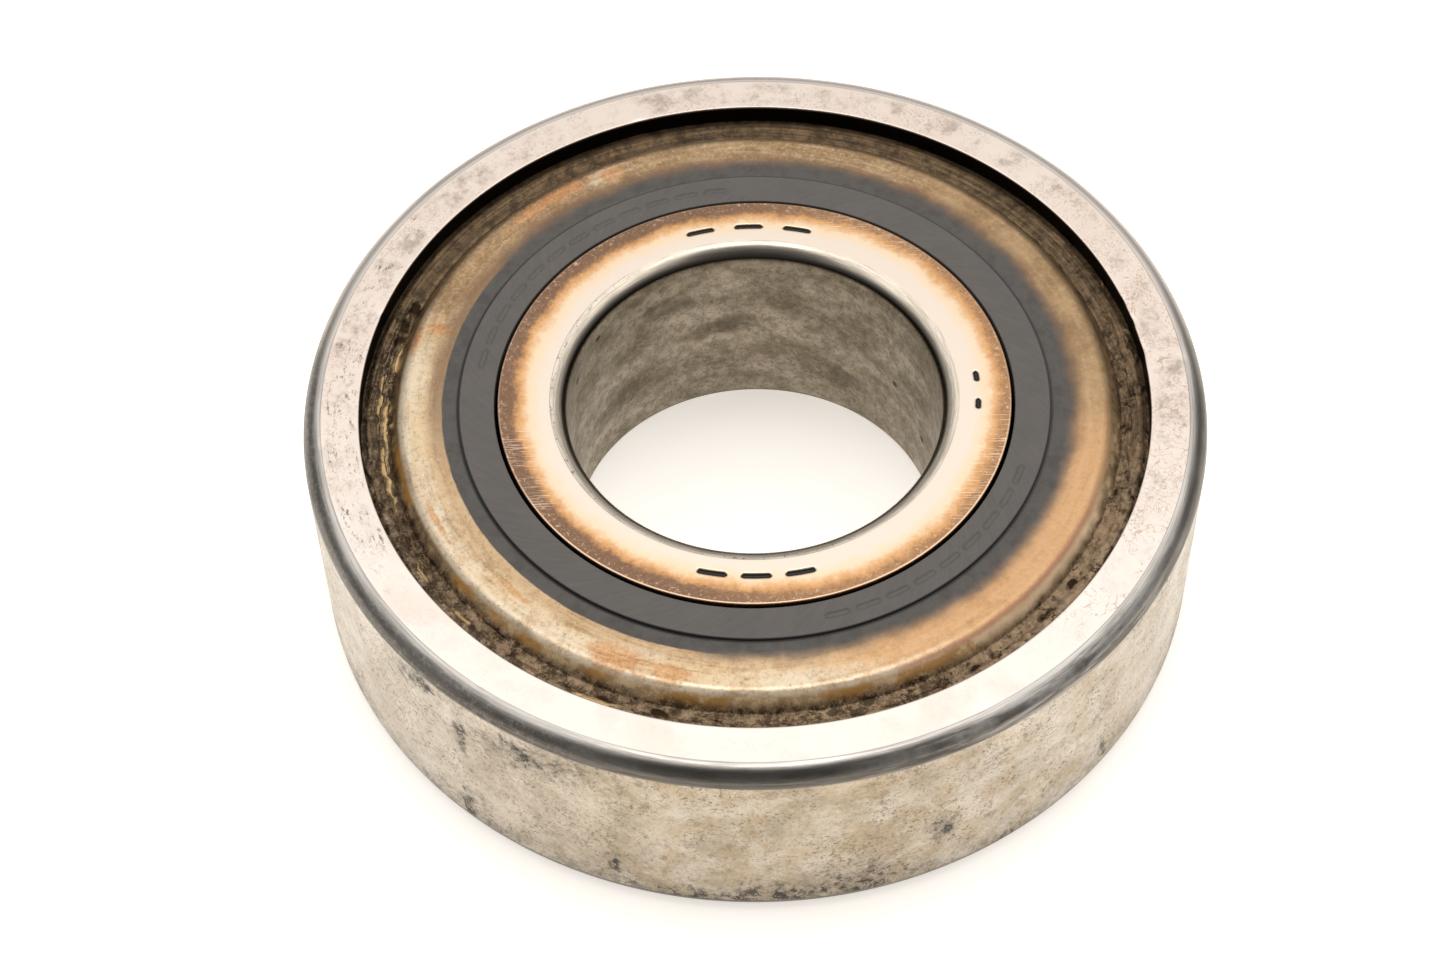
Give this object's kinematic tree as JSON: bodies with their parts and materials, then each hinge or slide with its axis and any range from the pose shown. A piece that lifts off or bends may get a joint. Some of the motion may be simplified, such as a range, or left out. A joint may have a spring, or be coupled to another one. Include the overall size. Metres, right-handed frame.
{
  "type": "deep groove ball bearing",
  "caption": "Sealed deep groove ball bearing: ground steel rings, caged balls and a steel shield with a rubber lip on each side.",
  "frame": {"origin": "centre of the bearing: on the bore's axis, at mid-width", "axes": "+Z along the axis of rotation; +X from the centre through ball_1"},
  "size_m": [0.072, 0.072, 0.019],
  "materials": {
    "outer_ring_steel": "ground bearing steel, stained by use",
    "inner_ring_steel": "ground bearing steel with a heat-tan tint",
    "seal_shield_steel": "pressed sheet, tan and rust-spotted at the rim",
    "seal_rubber": "matte moulded nitrile rubber",
    "cage_steel": "pressed sheet, oiled",
    "rivet_steel": "cold-headed, oiled",
    "ball_steel": "mirror polished"
  },
  "bodies": {
    "outer": {"outer_ring": "outer_ring_steel", "upper_seal_shield": "seal_shield_steel", "lower_seal_shield": "seal_shield_steel", "upper_seal_rubber": "seal_rubber", "lower_seal_rubber": "seal_rubber"},
    "inner": {"inner_ring": "inner_ring_steel"},
    "cage": {"cage_half_upper": "cage_steel", "cage_half_lower": "cage_steel", "cage_rivet_1": "rivet_steel", "cage_rivet_2": "rivet_steel", "cage_rivet_3": "rivet_steel", "cage_rivet_4": "rivet_steel", "cage_rivet_5": "rivet_steel", "cage_rivet_6": "rivet_steel", "cage_rivet_7": "rivet_steel", "cage_rivet_8": "rivet_steel"},
    "ball_1": {"ball_1": "ball_steel"},
    "ball_2": {"ball_2": "ball_steel"},
    "ball_3": {"ball_3": "ball_steel"},
    "ball_4": {"ball_4": "ball_steel"},
    "ball_5": {"ball_5": "ball_steel"},
    "ball_6": {"ball_6": "ball_steel"},
    "ball_7": {"ball_7": "ball_steel"},
    "ball_8": {"ball_8": "ball_steel"}
  },
  "joints": [
    {"name": "inner_spin", "type": "hinge", "parent": "outer", "child": "inner", "pos_m": [0, 0, 0], "axis": [0, 0, 1], "continuous": true},
    {"name": "cage_spin", "type": "hinge", "parent": "outer", "child": "cage", "pos_m": [0, 0, 0], "axis": [0, 0, 1], "continuous": true},
    {"name": "ball_1_spin", "type": "hinge", "parent": "cage", "child": "ball_1", "pos_m": [0.0255, 0, 0], "axis": [0, 0, 1], "continuous": true},
    {"name": "ball_2_spin", "type": "hinge", "parent": "cage", "child": "ball_2", "pos_m": [0.01803, 0.01803, 0], "axis": [0, 0, 1], "continuous": true},
    {"name": "ball_3_spin", "type": "hinge", "parent": "cage", "child": "ball_3", "pos_m": [0, 0.0255, 0], "axis": [0, 0, 1], "continuous": true},
    {"name": "ball_4_spin", "type": "hinge", "parent": "cage", "child": "ball_4", "pos_m": [-0.01803, 0.01803, 0], "axis": [0, 0, 1], "continuous": true},
    {"name": "ball_5_spin", "type": "hinge", "parent": "cage", "child": "ball_5", "pos_m": [-0.0255, 0, 0], "axis": [0, 0, 1], "continuous": true},
    {"name": "ball_6_spin", "type": "hinge", "parent": "cage", "child": "ball_6", "pos_m": [-0.01803, -0.01803, 0], "axis": [0, 0, 1], "continuous": true},
    {"name": "ball_7_spin", "type": "hinge", "parent": "cage", "child": "ball_7", "pos_m": [0, -0.0255, 0], "axis": [0, 0, 1], "continuous": true},
    {"name": "ball_8_spin", "type": "hinge", "parent": "cage", "child": "ball_8", "pos_m": [0.01803, -0.01803, 0], "axis": [0, 0, 1], "continuous": true}
  ],
  "couplings": [
    {"joint": "cage_spin", "follows": "inner_spin", "ratio": 0.37938},
    {"joint": "ball_1_spin", "follows": "inner_spin", "ratio": -1.952},
    {"joint": "ball_2_spin", "follows": "inner_spin", "ratio": -1.952},
    {"joint": "ball_3_spin", "follows": "inner_spin", "ratio": -1.952},
    {"joint": "ball_4_spin", "follows": "inner_spin", "ratio": -1.952},
    {"joint": "ball_5_spin", "follows": "inner_spin", "ratio": -1.952},
    {"joint": "ball_6_spin", "follows": "inner_spin", "ratio": -1.952},
    {"joint": "ball_7_spin", "follows": "inner_spin", "ratio": -1.952},
    {"joint": "ball_8_spin", "follows": "inner_spin", "ratio": -1.952}
  ]
}
